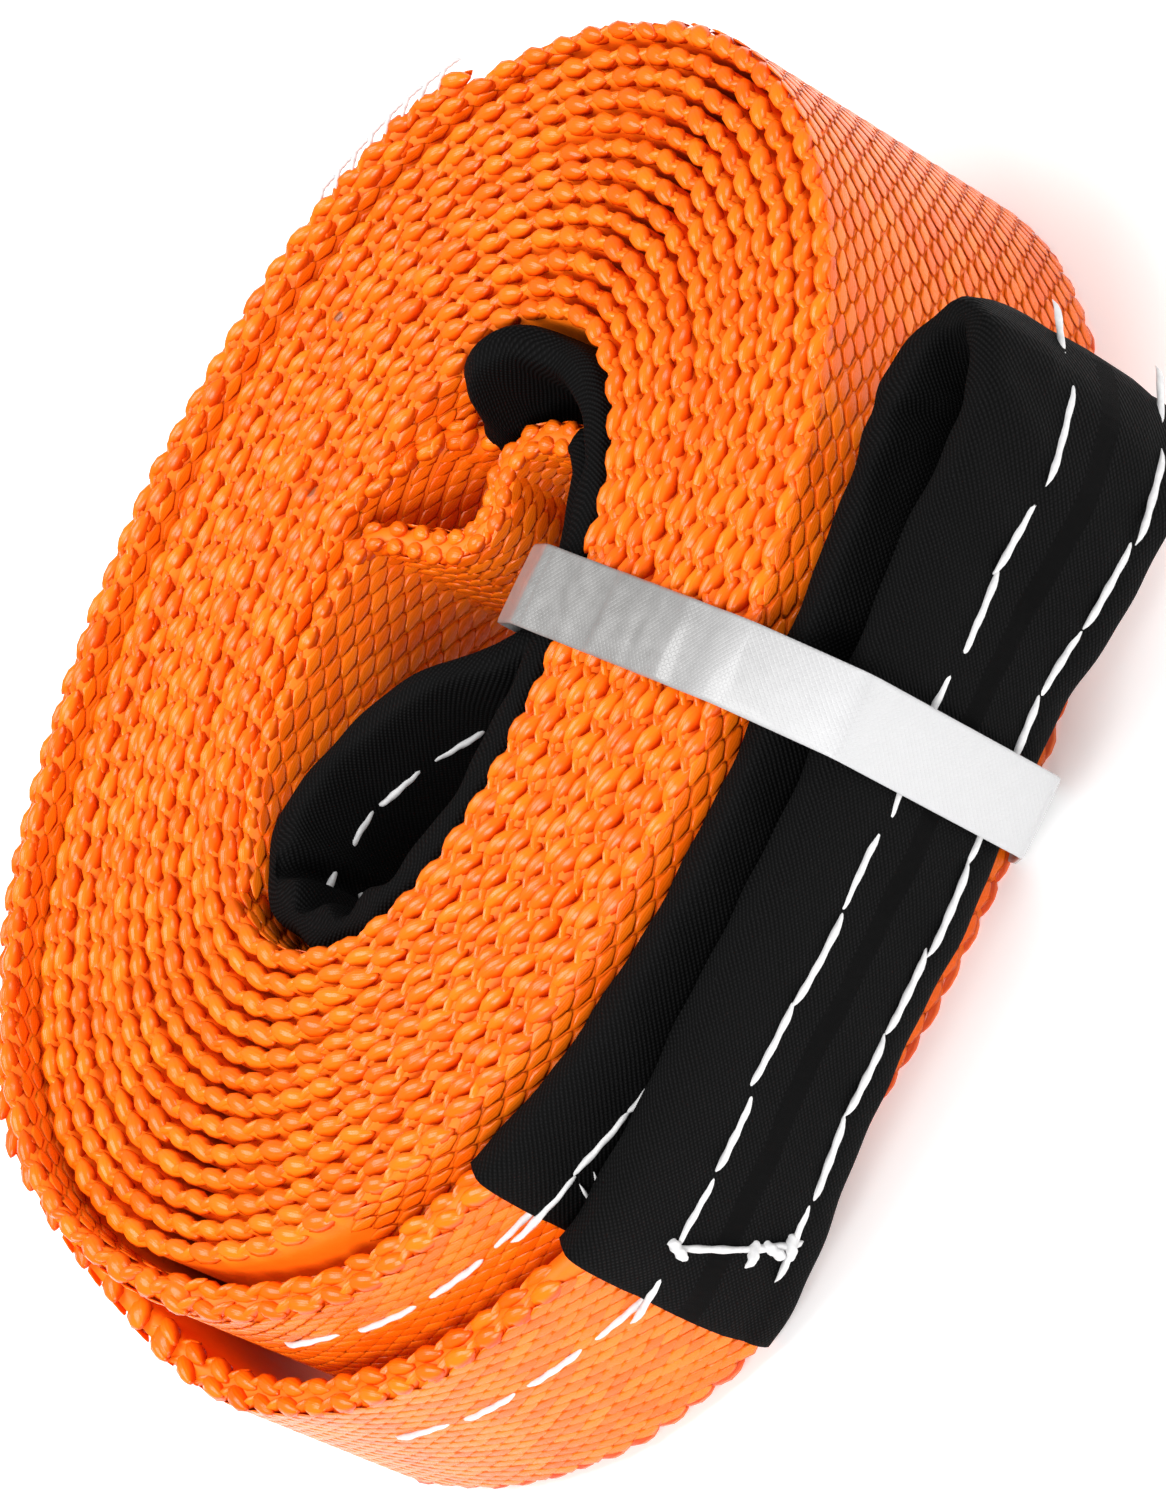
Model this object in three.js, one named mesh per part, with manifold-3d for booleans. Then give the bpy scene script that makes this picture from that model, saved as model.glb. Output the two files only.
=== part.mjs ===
// A webbing tow strap, wound into an oval roll and lying on its side, with a sleeved eye at each
// end and one thin plastic band round the roll's front wall. Millimetres, +Z up.
// +X runs along the roll's long axis, -Y is the side with the outer eye, and Z = 0 is the floor.

import * as THREE from "three";
import { mergeVertices } from "three/addons/utils/BufferGeometryUtils.js";
import Module from "manifold-3d";

const wasm = await Module();
wasm.setup();

// The webbing
const WEBBING_WIDTH = 50;
const WEBBING_THICKNESS = 2.25;
const FOLDED_WIDTH = 31;
const FOLDED_THICKNESS = 4.5;

// The roll: its open middle, its full turns, and how far each turn grows it
const CORE_X = -2;
const CORE_Y = -1.85;
const CORE_ROUND = 15.25;
const CORE_LONG = 23.15;
const CORE_SHORT = 8;
const FULL_TURNS = 14;
const FIRST_TURN = 0.11;
const PITCH_AT_ENDS = 3.03;
const PITCH_AT_SIDES = 2.57;
const GROOVE_WIDTH = 0.34;
const GROOVE_DEPTH = 2.5;
const GROOVE_END = 2;
const STEPS_A_TURN = 32;
const STEPS_A_PLACE = 4;

// The eyes and their sleeves
const SLEEVE_WALL = 0.7;
const SLEEVE_SLACK = 0.3;
const SLEEVE_SIDE_MARGIN = 1.5;
const CLEARANCE = 0.35;
const LEG_TOP = WEBBING_WIDTH - 5.5;
const LOWER_LEG_LIFT = 14.3;
const PINCHED_WIDTH = 26.2;
const TAIL_LIFT = 4;
const FAR_SLACK = 1.6;
const SLACK_END = 144;
const LOOP_END_X = 51.5;
const LOOP_SWAY = 0.54;
const LOOP_HALF_GAP = 6.6;
const INNER_LEG_TOP = WEBBING_WIDTH - 3.4;
const INNER_BEND_TOP = WEBBING_WIDTH - 4;
const INNER_SECOND_TOP = WEBBING_WIDTH - 8;

// The band
const BAND_WIDTH = 10.2;
const BAND_THICKNESS = 0.6;
const BAND_X = 6.5;
const BAND_Y = -42;
const BAND_SLANT = 3;
const BAND_BEND = 1.2;
const BAND_CORE_EDGE = -20.8;
const BAND_LOOSE = 2.6;
const CHANNEL_DEPTH = 1.3;
const CHANNEL_MARGIN = 0.8;

const DEGREE = Math.PI / 180;
const ROUND_TURN = 360;
const SLIGHT_ANGLE = 0.5;

const SLEEVE_HALF = FOLDED_THICKNESS / 2 + SLEEVE_SLACK + SLEEVE_WALL;
const LEG_AWAY = SLEEVE_HALF + CLEARANCE;
const SECOND_LEG_AWAY = 3 * SLEEVE_HALF + 2 * CLEARANCE;
const TURN_AWAY = WEBBING_THICKNESS / 2 + CLEARANCE;
const TAIL_AWAY = 1.5 * WEBBING_THICKNESS + 2 * CLEARANCE;
const LEG_LOW = LEG_TOP - FOLDED_WIDTH;

// How far the tangent line at one angle lies from the origin, after a number of turns
function support(degrees, turns) {
  const cos = Math.cos(degrees * DEGREE);
  const sin = Math.sin(degrees * DEGREE);
  const pitch = PITCH_AT_SIDES + (PITCH_AT_ENDS - PITCH_AT_SIDES) * cos * cos;
  const oval = Math.hypot(CORE_LONG * cos, CORE_SHORT * sin) + CORE_ROUND;
  return CORE_X * cos + CORE_Y * sin + oval + pitch * turns;
}

// A point on the spiral at an angle counted on through the turns, moved outward by away
function spiral(degrees, away = 0) {
  const here = support(degrees, degrees / ROUND_TURN) + away;
  const after = support(degrees + SLIGHT_ANGLE, (degrees + SLIGHT_ANGLE) / ROUND_TURN);
  const before = support(degrees - SLIGHT_ANGLE, (degrees - SLIGHT_ANGLE) / ROUND_TURN);
  const slope = (after - before) / (2 * SLIGHT_ANGLE * DEGREE);
  const cos = Math.cos(degrees * DEGREE);
  const sin = Math.sin(degrees * DEGREE);
  return new THREE.Vector2(here * cos - slope * sin, here * sin + slope * cos);
}

// A point beside the finished roll's outer surface, at an angle of its last turn
function besideRoll(degrees, away) {
  return spiral((FULL_TURNS - 1) * ROUND_TURN + degrees, away);
}

// A point inside the core, at a distance in from the wall
function insideCore(degrees, inward) {
  const turn = degrees < FIRST_TURN * ROUND_TURN ? ROUND_TURN : 0;
  return spiral(degrees + turn, -inward);
}

// Points of the spiral between two angles
function spiralRun(from, to, away) {
  const count = Math.max(1, Math.round((Math.abs(to - from) / ROUND_TURN) * STEPS_A_TURN));
  const points = [];
  for (let i = 0; i <= count; i += 1) {
    points.push(spiral(from + ((to - from) * i) / count, away));
  }
  return points;
}

function solidOf(geometry) {
  const bare = geometry.clone();
  bare.deleteAttribute("normal");
  bare.deleteAttribute("uv");
  const merged = mergeVertices(bare, 1e-4);
  const vertProperties = new Float32Array(merged.attributes.position.array);
  const triVerts = new Uint32Array(merged.index.array);
  return new wasm.Manifold(new wasm.Mesh({ numProp: 3, vertProperties, triVerts }));
}

function geometryOf(solid) {
  const mesh = solid.getMesh();
  const geometry = new THREE.BufferGeometry();
  geometry.setAttribute("position", new THREE.BufferAttribute(mesh.vertProperties, mesh.numProp));
  geometry.setIndex(new THREE.BufferAttribute(mesh.triVerts, 1));
  geometry.computeVertexNormals();
  return geometry;
}

function upright(outline, foot, height) {
  const geometry = new THREE.ExtrudeGeometry(new THREE.Shape(outline), {
    depth: height,
    steps: 1,
    bevelEnabled: false,
  });
  geometry.translate(0, 0, foot);
  return solidOf(geometry);
}

// One place along a strip: its plan position, lower and upper edge, and thickness
function place(point, low, high, thickness) {
  return { point, low, high, thickness };
}

// A strip that stands on edge and follows its places smoothly; grow makes it thicker and taller
function strip(places, from, to, steps, grow = { thickness: 0, height: 0 }) {
  const line = new THREE.CatmullRomCurve3(
    places.map((p) => new THREE.Vector3(p.point.x, p.point.y, 0)),
    false,
    "catmullrom",
  );
  const size = new THREE.CatmullRomCurve3(
    places.map((p) => new THREE.Vector3(p.low, p.high, p.thickness)),
    false,
    "catmullrom",
  );
  const geometry = new THREE.BoxGeometry(1, 1, 1, steps, 1, 1);
  const position = geometry.attributes.position;
  for (let i = 0; i < position.count; i += 1) {
    const share = position.getX(i) + 0.5;
    const u = THREE.MathUtils.clamp((from + (to - from) * share) / (places.length - 1), 0, 1);
    const centre = line.getPoint(u);
    const ahead = line.getPoint(Math.min(u + 1e-4, 1));
    const behind = line.getPoint(Math.max(u - 1e-4, 0));
    const along = ahead.sub(behind).normalize();
    const here = size.getPoint(u);
    const aside = position.getY(i) * (here.z + 2 * grow.thickness);
    const level = position.getZ(i) < 0 ? here.x - grow.height : here.y + grow.height;
    position.setXYZ(i, centre.x - along.y * aside, centre.y + along.x * aside, level);
  }
  return solidOf(geometry);
}

// A flattened tube round part of a strip, open at both ends
function sleeveRound(places, from, to) {
  const spread = { thickness: SLEEVE_SLACK + SLEEVE_WALL, height: SLEEVE_SIDE_MARGIN };
  const hollow = { thickness: SLEEVE_SLACK, height: SLEEVE_SIDE_MARGIN - SLEEVE_WALL };
  const past = 1 / STEPS_A_PLACE;
  const steps = (to - from) * STEPS_A_PLACE;
  const outside = strip(places, from, to, steps, spread);
  return outside.subtract(strip(places, from - past, to + past, steps + 2, hollow));
}

// The roll's full turns as one solid with its open middle, and the turns cut into both ends
function rollOfTurns() {
  const last = FULL_TURNS * ROUND_TURN;
  const first = FIRST_TURN * ROUND_TURN;
  const outer = spiralRun(last - ROUND_TURN, last, 0);
  const inner = spiralRun(first, first + ROUND_TURN, 0);
  let roll = upright(outer, 0, WEBBING_WIDTH);
  roll = roll.subtract(upright(inner, -1, WEBBING_WIDTH + 2));
  const from = first + ROUND_TURN + GROOVE_END;
  const to = last - ROUND_TURN - GROOVE_END;
  const groove = [...spiralRun(from, to, -GROOVE_WIDTH), ...spiralRun(from, to, 0).reverse()];
  const top = WEBBING_WIDTH - GROOVE_DEPTH;
  roll = roll.subtract(upright(groove, top, GROOVE_DEPTH + 1));
  return roll.subtract(upright(groove, -1, GROOVE_DEPTH + 1));
}

// The outer end of the strap: the last turn, the eye's two legs and the tail sewn back on it
function webbingPlace(degrees, away, low) {
  return place(besideRoll(degrees, away), low, low + WEBBING_WIDTH, WEBBING_THICKNESS);
}

function legPlace(point, low, width = FOLDED_WIDTH) {
  return place(point, low, low + width, FOLDED_THICKNESS);
}

function loopPlace(x, aside, low, width) {
  const betweenLegs = besideRoll(270, (LEG_AWAY + SECOND_LEG_AWAY) / 2).y;
  return legPlace(new THREE.Vector2(x, betweenLegs - LOOP_SWAY + aside), low, width);
}

// The second leg lies on the floor at the left end and climbs toward the band, which pinches it
function secondLegPlace(degrees) {
  const rise = THREE.MathUtils.smoothstep(degrees, 232, 263);
  const width = FOLDED_WIDTH - (FOLDED_WIDTH - PINCHED_WIDTH) * rise;
  const low = SLEEVE_SIDE_MARGIN * (1 - rise) + LOWER_LEG_LIFT * rise;
  return legPlace(besideRoll(degrees, SECOND_LEG_AWAY), low, width);
}

// The last turn and the tail stand off the roll a little at its far side
function slackAt(degrees) {
  return FAR_SLACK * Math.sin((Math.PI * degrees) / SLACK_END) ** 2;
}

const lastTurn = [
  webbingPlace(-14, -WEBBING_THICKNESS / 2, 0),
  ...[4, 18, 36, 54, 72, 90, 108, 126, 144].map((degrees) =>
    webbingPlace(degrees, TURN_AWAY + slackAt(degrees), (TAIL_LIFT * degrees) / SLACK_END),
  ),
  place(besideRoll(162, 2.2), 6, WEBBING_WIDTH + 3.5, WEBBING_THICKNESS * 1.2),
  place(besideRoll(180, 2.9), 8.5, WEBBING_WIDTH + 0.5, FOLDED_THICKNESS * 0.8),
  place(besideRoll(198, LEG_AWAY), 11, LEG_TOP + 2.5, FOLDED_THICKNESS),
  ...[213, 225].map((degrees) => legPlace(besideRoll(degrees, LEG_AWAY), LEG_LOW)),
];

const outerEye = [
  ...[237, 244, 251, 259, 267].map((degrees) => legPlace(besideRoll(degrees, LEG_AWAY), LEG_LOW)),
  loopPlace(14, 4.2, LEG_LOW),
  loopPlace(28, 5, LEG_LOW),
  loopPlace(40, LOOP_HALF_GAP, LEG_LOW),
  loopPlace(48, 4.8, LEG_LOW),
  loopPlace(LOOP_END_X, 0, LEG_LOW),
  loopPlace(48, -4.8, LEG_LOW),
  loopPlace(40, -LOOP_HALF_GAP, LEG_LOW, 30),
  loopPlace(28, -4.2, LEG_LOW - 0.5, 29),
  loopPlace(14, -2.7, LOWER_LEG_LIFT, PINCHED_WIDTH),
  ...[267, 259, 251, 244, 237].map(secondLegPlace),
];

const tail = [
  ...[225, 213, 198].map(secondLegPlace),
  place(besideRoll(180, SECOND_LEG_AWAY), 0.5, 33, FOLDED_THICKNESS),
  place(besideRoll(162, SECOND_LEG_AWAY - 2), 0.5, 39, FOLDED_THICKNESS * 0.85),
  place(besideRoll(144, TAIL_AWAY + 2), 1.5, WEBBING_WIDTH, WEBBING_THICKNESS * 1.2),
  ...[126, 108, 90, 72, 54, 43].map((degrees) =>
    webbingPlace(degrees, TAIL_AWAY + slackAt(degrees), TAIL_LIFT / 2),
  ),
];

const outerPlaces = [...lastTurn, ...outerEye, ...tail];

// The inner end of the strap: a leg along the wall, the bend, the second leg and its crumpled tail
function wallPlace(degrees, top = INNER_LEG_TOP, inward = LEG_AWAY) {
  return legPlace(insideCore(degrees, inward), top - FOLDED_WIDTH);
}

function bendPlace(x, y, top = INNER_BEND_TOP) {
  return legPlace(new THREE.Vector2(x, y), top - FOLDED_WIDTH);
}

const firstTurn = [
  place(insideCore(80, -WEBBING_THICKNESS / 2), 0, WEBBING_WIDTH, WEBBING_THICKNESS),
  place(insideCore(66, 0.8), 5, INNER_BEND_TOP, FOLDED_THICKNESS * 0.7),
];

const innerEye = [
  wallPlace(53, INNER_SECOND_TOP - 0.5),
  wallPlace(42, INNER_LEG_TOP + 1.4, LEG_AWAY + 0.3),
  wallPlace(30, INNER_LEG_TOP + 3.9, LEG_AWAY + 1.8),
  wallPlace(13, INNER_LEG_TOP + 2.9),
  ...[-4, -20, -36, -52, -68, -84, -100, -116, -132].map((degrees) => wallPlace(degrees)),
  wallPlace(-150, INNER_BEND_TOP),
  wallPlace(-174, INNER_BEND_TOP),
  bendPlace(-35.5, 6),
  bendPlace(-29, 9.2),
  bendPlace(-21, 7.6),
  bendPlace(-13, 2.2),
  bendPlace(-6, -5.4),
  bendPlace(0, -12.8, INNER_SECOND_TOP + 1),
  ...[-84, -70, -56, -44, -34].map((degrees) =>
    legPlace(insideCore(degrees, SECOND_LEG_AWAY), INNER_SECOND_TOP - FOLDED_WIDTH),
  ),
];

const crumpledTail = [
  bendPlace(26.5, 0.5, INNER_SECOND_TOP + 1),
  bendPlace(21.5, 4.2, INNER_SECOND_TOP + 1.5),
  bendPlace(15.5, 2.4, INNER_SECOND_TOP + 1.5),
  bendPlace(10.6, 6.2, INNER_SECOND_TOP + 2),
  bendPlace(9.6, 12.5, INNER_SECOND_TOP + 3.5),
  place(insideCore(84, TURN_AWAY + 1.6), 4, WEBBING_WIDTH - 1.5, WEBBING_THICKNESS * 1.4),
  place(insideCore(104, TURN_AWAY), 1, WEBBING_WIDTH - 1, WEBBING_THICKNESS),
  place(insideCore(122, TURN_AWAY), 1, WEBBING_WIDTH - 1, WEBBING_THICKNESS),
  place(insideCore(138, -WEBBING_THICKNESS / 2), 1, WEBBING_WIDTH - 1, WEBBING_THICKNESS),
];

const innerPlaces = [...firstTurn, ...innerEye, ...crumpledTail];

function wholeStrip(places) {
  const count = places.length - 1;
  return strip(places, 0, count, count * STEPS_A_PLACE);
}

// The band's corners in its own upright plane, as distances along Y and heights
function bandCorners() {
  const reach = BAND_THICKNESS / 2 + CLEARANCE;
  const wall = besideRoll(270, 0).y;
  const coreWall = insideCore(-90, 0).y;
  const bottom = BAND_THICKNESS / 2 + CHANNEL_MARGIN / 4;
  const firstFace = wall - LEG_AWAY - SLEEVE_HALF;
  const secondFace = wall - SECOND_LEG_AWAY - SLEEVE_HALF - reach;
  const innerFace = coreWall + SECOND_LEG_AWAY + SLEEVE_HALF + reach + BAND_LOOSE;
  const secondTop = LOWER_LEG_LIFT + PINCHED_WIDTH + SLEEVE_SIDE_MARGIN;
  return [
    [BAND_CORE_EDGE, WEBBING_WIDTH + reach],
    [innerFace, INNER_SECOND_TOP + SLEEVE_SIDE_MARGIN + 1.1],
    [innerFace, INNER_SECOND_TOP - FOLDED_WIDTH - SLEEVE_SIDE_MARGIN - 0.9],
    [coreWall + 1.2, bottom],
    [wall - 1, bottom],
    [secondFace, LOWER_LEG_LIFT - SLEEVE_SIDE_MARGIN - 1.2],
    [secondFace, secondTop + 0.7],
    [firstFace - 0.6, LEG_TOP + SLEEVE_SIDE_MARGIN + 0.9],
    [wall - 0.8, WEBBING_WIDTH + reach],
  ].map(([y, z]) => new THREE.Vector2(y, z));
}

// A closed outline parallel to the corners, with each corner rounded
function bandOutline(corners, offset, bend) {
  const count = corners.length;
  const moved = corners.map((corner, i) => {
    const before = corner.clone().sub(corners[(i + count - 1) % count]).normalize();
    const after = corners[(i + 1) % count].clone().sub(corner).normalize();
    const share = offset / (1 + before.dot(after));
    const aside = new THREE.Vector2(-before.y - after.y, before.x + after.x);
    return corner.clone().addScaledVector(aside, share);
  });
  const outline = new THREE.Path();
  moved.forEach((corner, i) => {
    const before = moved[(i + count - 1) % count].clone().sub(corner).setLength(bend);
    const after = moved[(i + 1) % count].clone().sub(corner).setLength(bend);
    const start = corner.clone().add(before);
    const end = corner.clone().add(after);
    if (i === 0) outline.moveTo(start.x, start.y);
    else outline.lineTo(start.x, start.y);
    outline.quadraticCurveTo(corner.x, corner.y, end.x, end.y);
  });
  return outline.getPoints(4);
}

// Turns a shape drawn in Y and Z, and extruded, to stand across the roll's front wall
function acrossFrontWall(geometry, width) {
  geometry.translate(0, 0, -width / 2);
  geometry.applyMatrix4(new THREE.Matrix4().set(0, 0, 1, 0, 1, 0, 0, 0, 0, 1, 0, 0, 0, 0, 0, 1));
  geometry.translate(0, -BAND_Y, 0);
  geometry.rotateZ(-BAND_SLANT * DEGREE);
  geometry.translate(BAND_X, BAND_Y, 0);
  return geometry;
}

function bandSolid() {
  const corners = bandCorners();
  const outside = bandOutline(corners, BAND_THICKNESS / 2, BAND_BEND);
  const inside = bandOutline(corners, -BAND_THICKNESS / 2, BAND_BEND);
  const settings = { depth: BAND_WIDTH, steps: 1, bevelEnabled: false };
  const shape = new THREE.Shape(outside);
  shape.holes.push(new THREE.Path(inside.reverse()));
  return solidOf(acrossFrontWall(new THREE.ExtrudeGeometry(shape, settings), BAND_WIDTH));
}

// The shallow channel that the band presses into the webbing's lower edges
function channelSolid() {
  const width = BAND_WIDTH + 2 * CHANNEL_MARGIN;
  const length = 2 * Math.abs(BAND_Y - besideRoll(270, 0).y) + 8;
  const cutter = new THREE.BoxGeometry(width, length, 2 * CHANNEL_DEPTH);
  cutter.rotateZ(-BAND_SLANT * DEGREE);
  cutter.translate(BAND_X, BAND_Y, 0);
  return solidOf(cutter);
}

const pieces = [];

function piece(name, solid, colour, roughness) {
  const material = new THREE.MeshStandardMaterial({ color: colour, roughness, metalness: 0 });
  const mesh = new THREE.Mesh(geometryOf(solid), material);
  mesh.name = name;
  pieces.push(mesh);
}

const outerFrom = lastTurn.length;
const outerTo = outerFrom + outerEye.length - 1;
const innerFrom = firstTurn.length;
const innerTo = innerFrom + innerEye.length - 1;

const strap = rollOfTurns()
  .subtract(channelSolid())
  .add(wholeStrip(outerPlaces))
  .add(wholeStrip(innerPlaces));

piece("strap", strap, 0xf26a12, 0.5);
piece("outer_eye_sleeve", sleeveRound(outerPlaces, outerFrom, outerTo), 0x151515, 0.8);
piece("inner_eye_sleeve", sleeveRound(innerPlaces, innerFrom, innerTo), 0x151515, 0.8);
piece("retaining_band", bandSolid(), 0xd8dadc, 0.3);

const towStrap = new THREE.Group();
towStrap.add(...pieces);

// The origin is the middle of the strap's footprint, on the floor
const middle = new THREE.Box3().setFromObject(towStrap).getCenter(new THREE.Vector3());
towStrap.position.set(-middle.x, -middle.y, 0);

export default towStrap;
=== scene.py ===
import math

import bmesh
import bpy
import numpy as np
from mathutils import Matrix, Vector


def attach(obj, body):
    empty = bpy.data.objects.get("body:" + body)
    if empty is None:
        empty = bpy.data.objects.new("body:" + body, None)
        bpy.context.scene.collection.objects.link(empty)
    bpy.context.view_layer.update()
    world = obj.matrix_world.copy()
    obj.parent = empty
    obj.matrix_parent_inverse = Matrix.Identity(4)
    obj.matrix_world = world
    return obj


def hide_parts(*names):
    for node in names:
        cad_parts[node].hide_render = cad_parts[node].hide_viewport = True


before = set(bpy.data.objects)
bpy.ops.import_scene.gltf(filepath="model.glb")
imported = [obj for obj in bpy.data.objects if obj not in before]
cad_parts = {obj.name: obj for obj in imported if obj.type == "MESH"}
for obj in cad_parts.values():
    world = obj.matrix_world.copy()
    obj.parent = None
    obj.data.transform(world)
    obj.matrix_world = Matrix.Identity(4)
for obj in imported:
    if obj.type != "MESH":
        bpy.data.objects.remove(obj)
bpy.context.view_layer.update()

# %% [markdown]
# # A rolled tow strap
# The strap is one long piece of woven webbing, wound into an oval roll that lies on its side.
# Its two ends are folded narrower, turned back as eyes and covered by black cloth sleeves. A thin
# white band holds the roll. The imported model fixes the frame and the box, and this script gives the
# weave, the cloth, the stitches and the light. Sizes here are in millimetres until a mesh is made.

MM = 0.001
RNG = np.random.default_rng(11)

# %% [markdown]
# ## Where the webbing runs
# The roll is an oval spiral. Its shape is easiest to say as a support function: how far the
# tangent line at each angle lies from the middle. A turn then grows the oval by one pitch, and
# the gap between two turns stays even all the way round. The same values build the solid model.

# %% The roll's sizes and its spiral
WEBBING_WIDTH = 50
WEBBING_THICKNESS = 2.25
FOLDED_WIDTH = 31
FOLDED_THICKNESS = 4.5
CORE_X, CORE_Y = -2, -1.85
CORE_ROUND, CORE_LONG, CORE_SHORT = 15.25, 23.15, 8
FULL_TURNS = 14
FIRST_ANGLE = 0.11 * 360
PITCH_AT_ENDS, PITCH_AT_SIDES = 3.03, 2.57
CLEARANCE = 0.35
SLEEVE_SIDE_MARGIN = 1.5
SLEEVE_HALF = FOLDED_THICKNESS / 2 + 0.3 + 0.7
LEG_AWAY = SLEEVE_HALF + CLEARANCE
SECOND_LEG_AWAY = 3 * SLEEVE_HALF + 2 * CLEARANCE
TURN_AWAY = WEBBING_THICKNESS / 2 + CLEARANCE
TAIL_AWAY = 1.5 * WEBBING_THICKNESS + 2 * CLEARANCE
LEG_TOP = 44.5
LEG_LOW = LEG_TOP - FOLDED_WIDTH
LOWER_LEG_LIFT, PINCHED_WIDTH = 14.3, 26.2
TAIL_LIFT = 4
FAR_SLACK, SLACK_END = 1.6, 144
LOOP_END_X, LOOP_Y, LOOP_HALF_GAP = 51.5, -68, 6.6
INNER_LEG_TOP, INNER_BEND_TOP, INNER_SECOND_TOP = 46.6, 46, 42
FOOTPRINT_MIDDLE = np.array([-7.5909, -7.9152, 0.0])


def pitch_at(degrees):
    return PITCH_AT_SIDES + (PITCH_AT_ENDS - PITCH_AT_SIDES) * np.cos(np.radians(degrees)) ** 2


def support(degrees):
    cos, sin = np.cos(np.radians(degrees)), np.sin(np.radians(degrees))
    oval = np.hypot(CORE_LONG * cos, CORE_SHORT * sin) + CORE_ROUND
    return CORE_X * cos + CORE_Y * sin + oval + pitch_at(degrees) * degrees / 360


def spiral(degrees, away=0.0):
    degrees = np.asarray(degrees, float)
    slope = (support(degrees + 0.5) - support(degrees - 0.5)) / math.radians(1)
    cos, sin = np.cos(np.radians(degrees)), np.sin(np.radians(degrees))
    here = support(degrees) + away
    return np.stack([here * cos - slope * sin, here * sin + slope * cos], axis=-1)


def beside_roll(degrees, away):
    return spiral((FULL_TURNS - 1) * 360 + degrees, away)


def inside_core(degrees, inward):
    return spiral(degrees + (360 if degrees < FIRST_ANGLE else 0), -inward)


# %% [markdown]
# ## The two ends of the strap
# Past the roll, the webbing follows given places: how far it stands off the roll, how
# high its two edges are, and how thick it is where it is folded. A smooth curve joins the places,
# so the narrowing of the webbing toward each eye comes from the numbers alone.

# %% Places of the outer and the inner end
def place(point, low, high, thickness):
    return [point[0], point[1], low, high, thickness]


def webbing_place(degrees, away, low):
    return place(beside_roll(degrees, away), low, low + WEBBING_WIDTH, WEBBING_THICKNESS)


def leg_place(point, low, width=FOLDED_WIDTH):
    return place(point, low, low + width, FOLDED_THICKNESS)


def loop_place(x, aside, low, width=FOLDED_WIDTH):
    return leg_place((x, LOOP_Y + aside), low, width)


def second_leg_place(degrees):
    share = min(max((degrees - 232) / (263 - 232), 0), 1)
    rise = share * share * (3 - 2 * share)
    width = FOLDED_WIDTH - (FOLDED_WIDTH - PINCHED_WIDTH) * rise
    low = SLEEVE_SIDE_MARGIN * (1 - rise) + LOWER_LEG_LIFT * rise
    return leg_place(beside_roll(degrees, SECOND_LEG_AWAY), low, width)


def slack_at(degrees):
    return FAR_SLACK * math.sin(math.pi * degrees / SLACK_END) ** 2


last_turn = [
    webbing_place(a, TURN_AWAY + slack_at(a), TAIL_LIFT * a / SLACK_END)
    for a in (4, 18, 36, 54, 72, 90, 108, 126, 144)
]
last_turn += [
    place(beside_roll(162, 2.2), 6, 53.5, WEBBING_THICKNESS * 1.2),
    place(beside_roll(180, 2.9), 8.5, 50.5, FOLDED_THICKNESS * 0.8),
    place(beside_roll(198, LEG_AWAY), 11, 47, FOLDED_THICKNESS),
    leg_place(beside_roll(213, LEG_AWAY), LEG_LOW),
    leg_place(beside_roll(225, LEG_AWAY), LEG_LOW),
]
outer_eye = [leg_place(beside_roll(a, LEG_AWAY), LEG_LOW) for a in (237, 244, 251, 259, 267)]
outer_eye += [
    loop_place(14, 4.2, LEG_LOW),
    loop_place(28, 5, LEG_LOW),
    loop_place(40, LOOP_HALF_GAP, LEG_LOW),
    loop_place(48, 4.8, LEG_LOW),
    loop_place(LOOP_END_X, 0, LEG_LOW),
    loop_place(48, -4.8, LEG_LOW),
    loop_place(40, -LOOP_HALF_GAP, LEG_LOW, 30),
    loop_place(28, -4.2, LEG_LOW - 0.5, 29),
    loop_place(14, -2.7, LOWER_LEG_LIFT, PINCHED_WIDTH),
]
outer_eye += [second_leg_place(a) for a in (267, 259, 251, 244, 237)]
outer_tail = [second_leg_place(a) for a in (225, 213, 198)]
outer_tail += [
    place(beside_roll(180, SECOND_LEG_AWAY), 0.5, 33, FOLDED_THICKNESS),
    place(beside_roll(162, SECOND_LEG_AWAY - 2), 0.5, 39, FOLDED_THICKNESS * 0.85),
    place(beside_roll(144, TAIL_AWAY + 2), 1.5, 50, WEBBING_THICKNESS * 1.2),
]
outer_tail += [
    webbing_place(a, TAIL_AWAY + slack_at(a), TAIL_LIFT / 2) for a in (126, 108, 90, 72, 54, 43)
]


def wall_place(degrees, top=INNER_LEG_TOP, inward=LEG_AWAY):
    return leg_place(inside_core(degrees, inward), top - FOLDED_WIDTH)


def bend_place(x, y, top=INNER_BEND_TOP):
    return leg_place((x, y), top - FOLDED_WIDTH)


first_turn = [
    place(inside_core(80, -WEBBING_THICKNESS / 2), 0, WEBBING_WIDTH, WEBBING_THICKNESS),
    place(inside_core(66, 0.8), 5, 46, FOLDED_THICKNESS * 0.7),
]
inner_eye = [
    wall_place(53, 41.5),
    wall_place(42, 48, LEG_AWAY + 0.3),
    wall_place(30, 50.5, LEG_AWAY + 1.8),
    wall_place(13, 49.5),
]
inner_eye += [wall_place(a) for a in (-4, -20, -36, -52, -68, -84, -100, -116, -132)]
inner_eye += [
    wall_place(-150, INNER_BEND_TOP),
    wall_place(-174, INNER_BEND_TOP),
    bend_place(-35.5, 6),
    bend_place(-29, 9.2),
    bend_place(-21, 7.6),
    bend_place(-13, 2.2),
    bend_place(-6, -5.4),
    bend_place(0, -12.8, 43),
]
inner_eye += [
    leg_place(inside_core(a, SECOND_LEG_AWAY), INNER_SECOND_TOP - FOLDED_WIDTH)
    for a in (-84, -70, -56, -44, -34)
]
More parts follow.
